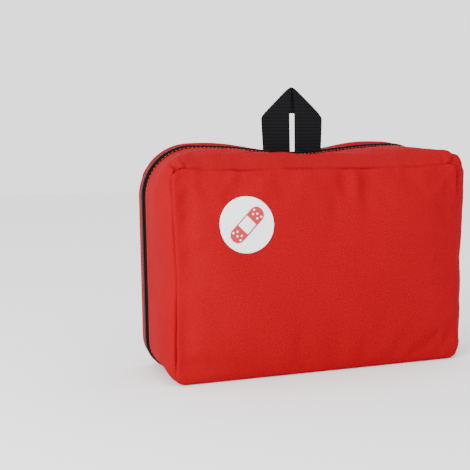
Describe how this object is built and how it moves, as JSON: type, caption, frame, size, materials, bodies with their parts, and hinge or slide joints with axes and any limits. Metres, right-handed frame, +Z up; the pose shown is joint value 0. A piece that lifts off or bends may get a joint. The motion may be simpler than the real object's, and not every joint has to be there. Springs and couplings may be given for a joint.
{
  "type": "first aid kit",
  "caption": "Soft red zipped first aid pouch with a round front badge, a black webbing hanging loop and packed dressings and tools inside.",
  "frame": {"origin": "on the floor under the middle of the case", "axes": "+Z up, -Y the badge side, +X to the right seen from the badge side"},
  "size_m": [0.2391, 0.0778, 0.2059],
  "materials": {
    "red_fabric": "woven polyester, matt",
    "black_webbing": "ribbed webbing and zip tape",
    "lining": "black lining and net",
    "elastic": "black elastic",
    "badge_print": "printed badge",
    "steel": "brushed",
    "black_metal": "black lacquer",
    "gauze": "crepe gauze",
    "paper": "paper packaging",
    "film": "film packaging",
    "foil": "metallised film",
    "grip_plastic": "moulded plastic",
    "adhesive_tape": "adhesive tape"
  },
  "bodies": {
    "tub": {"front_panel": "red_fabric", "front_gusset": "red_fabric", "bottom_gusset": "red_fabric", "zip_tape_front": "black_webbing", "zip_coil_front": "black_webbing", "badge": "badge_print", "tub_divider": "lining", "gauze_roll_wide": "gauze", "gauze_roll_narrow": "gauze", "tape_roll": "adhesive_tape", "dressing_packet": "paper", "glove_packet": "film", "triangular_bandage": "film", "gauze_pad_packet": "paper", "rescue_blanket": "foil", "plaster_packet": "paper"},
    "lid": {"back_panel": "red_fabric", "rear_band": "red_fabric", "zip_tape_rear": "black_webbing", "zip_coil_rear": "black_webbing", "net_pocket": "lining", "pocket_elastic": "elastic", "leaflet": "paper", "wipe_sachet_1": "foil", "wipe_sachet_2": "foil", "scissor_blade_a": "steel", "scissor_grip_a": "grip_plastic", "scissor_rivet": "steel", "scissor_loop": "elastic", "tweezers": "steel", "tweezer_loop": "elastic"},
    "loop": {"hanging_loop": "black_webbing", "loop_crossing": "black_webbing"},
    "slider": {"slider_body": "black_metal"},
    "pull": {"pull_tab": "black_metal"},
    "scissor_half": {"scissor_blade_b": "steel", "scissor_grip_b": "grip_plastic"}
  },
  "joints": [
    {"name": "lid_fold", "type": "hinge", "parent": "tub", "child": "lid", "pos_m": [0, 0.039, 0], "axis": [-1, 0, 0], "range_deg": [0, 88]},
    {"name": "loop_bend", "type": "hinge", "parent": "lid", "child": "loop", "pos_m": [0, 0.0272, 0.1578], "axis": [1, 0, 0], "range_deg": [-60, 60], "stiffness_Nm_per_rad": 0.01},
    {"name": "slider_run", "type": "slide", "parent": "tub", "child": "slider", "axis": [0, 0, 1], "range_m": [0, 0.076]},
    {"name": "pull_swing", "type": "hinge", "parent": "slider", "child": "pull", "pos_m": [0.1197, 0.021, 0.037], "axis": [0, -1, 0], "range_deg": [0, 165]},
    {"name": "scissor_turn", "type": "hinge", "parent": "lid", "child": "scissor_half", "pos_m": [-0.013, 0.0352, 0.126], "axis": [0, 1, 0], "range_deg": [0, 30]}
  ]
}
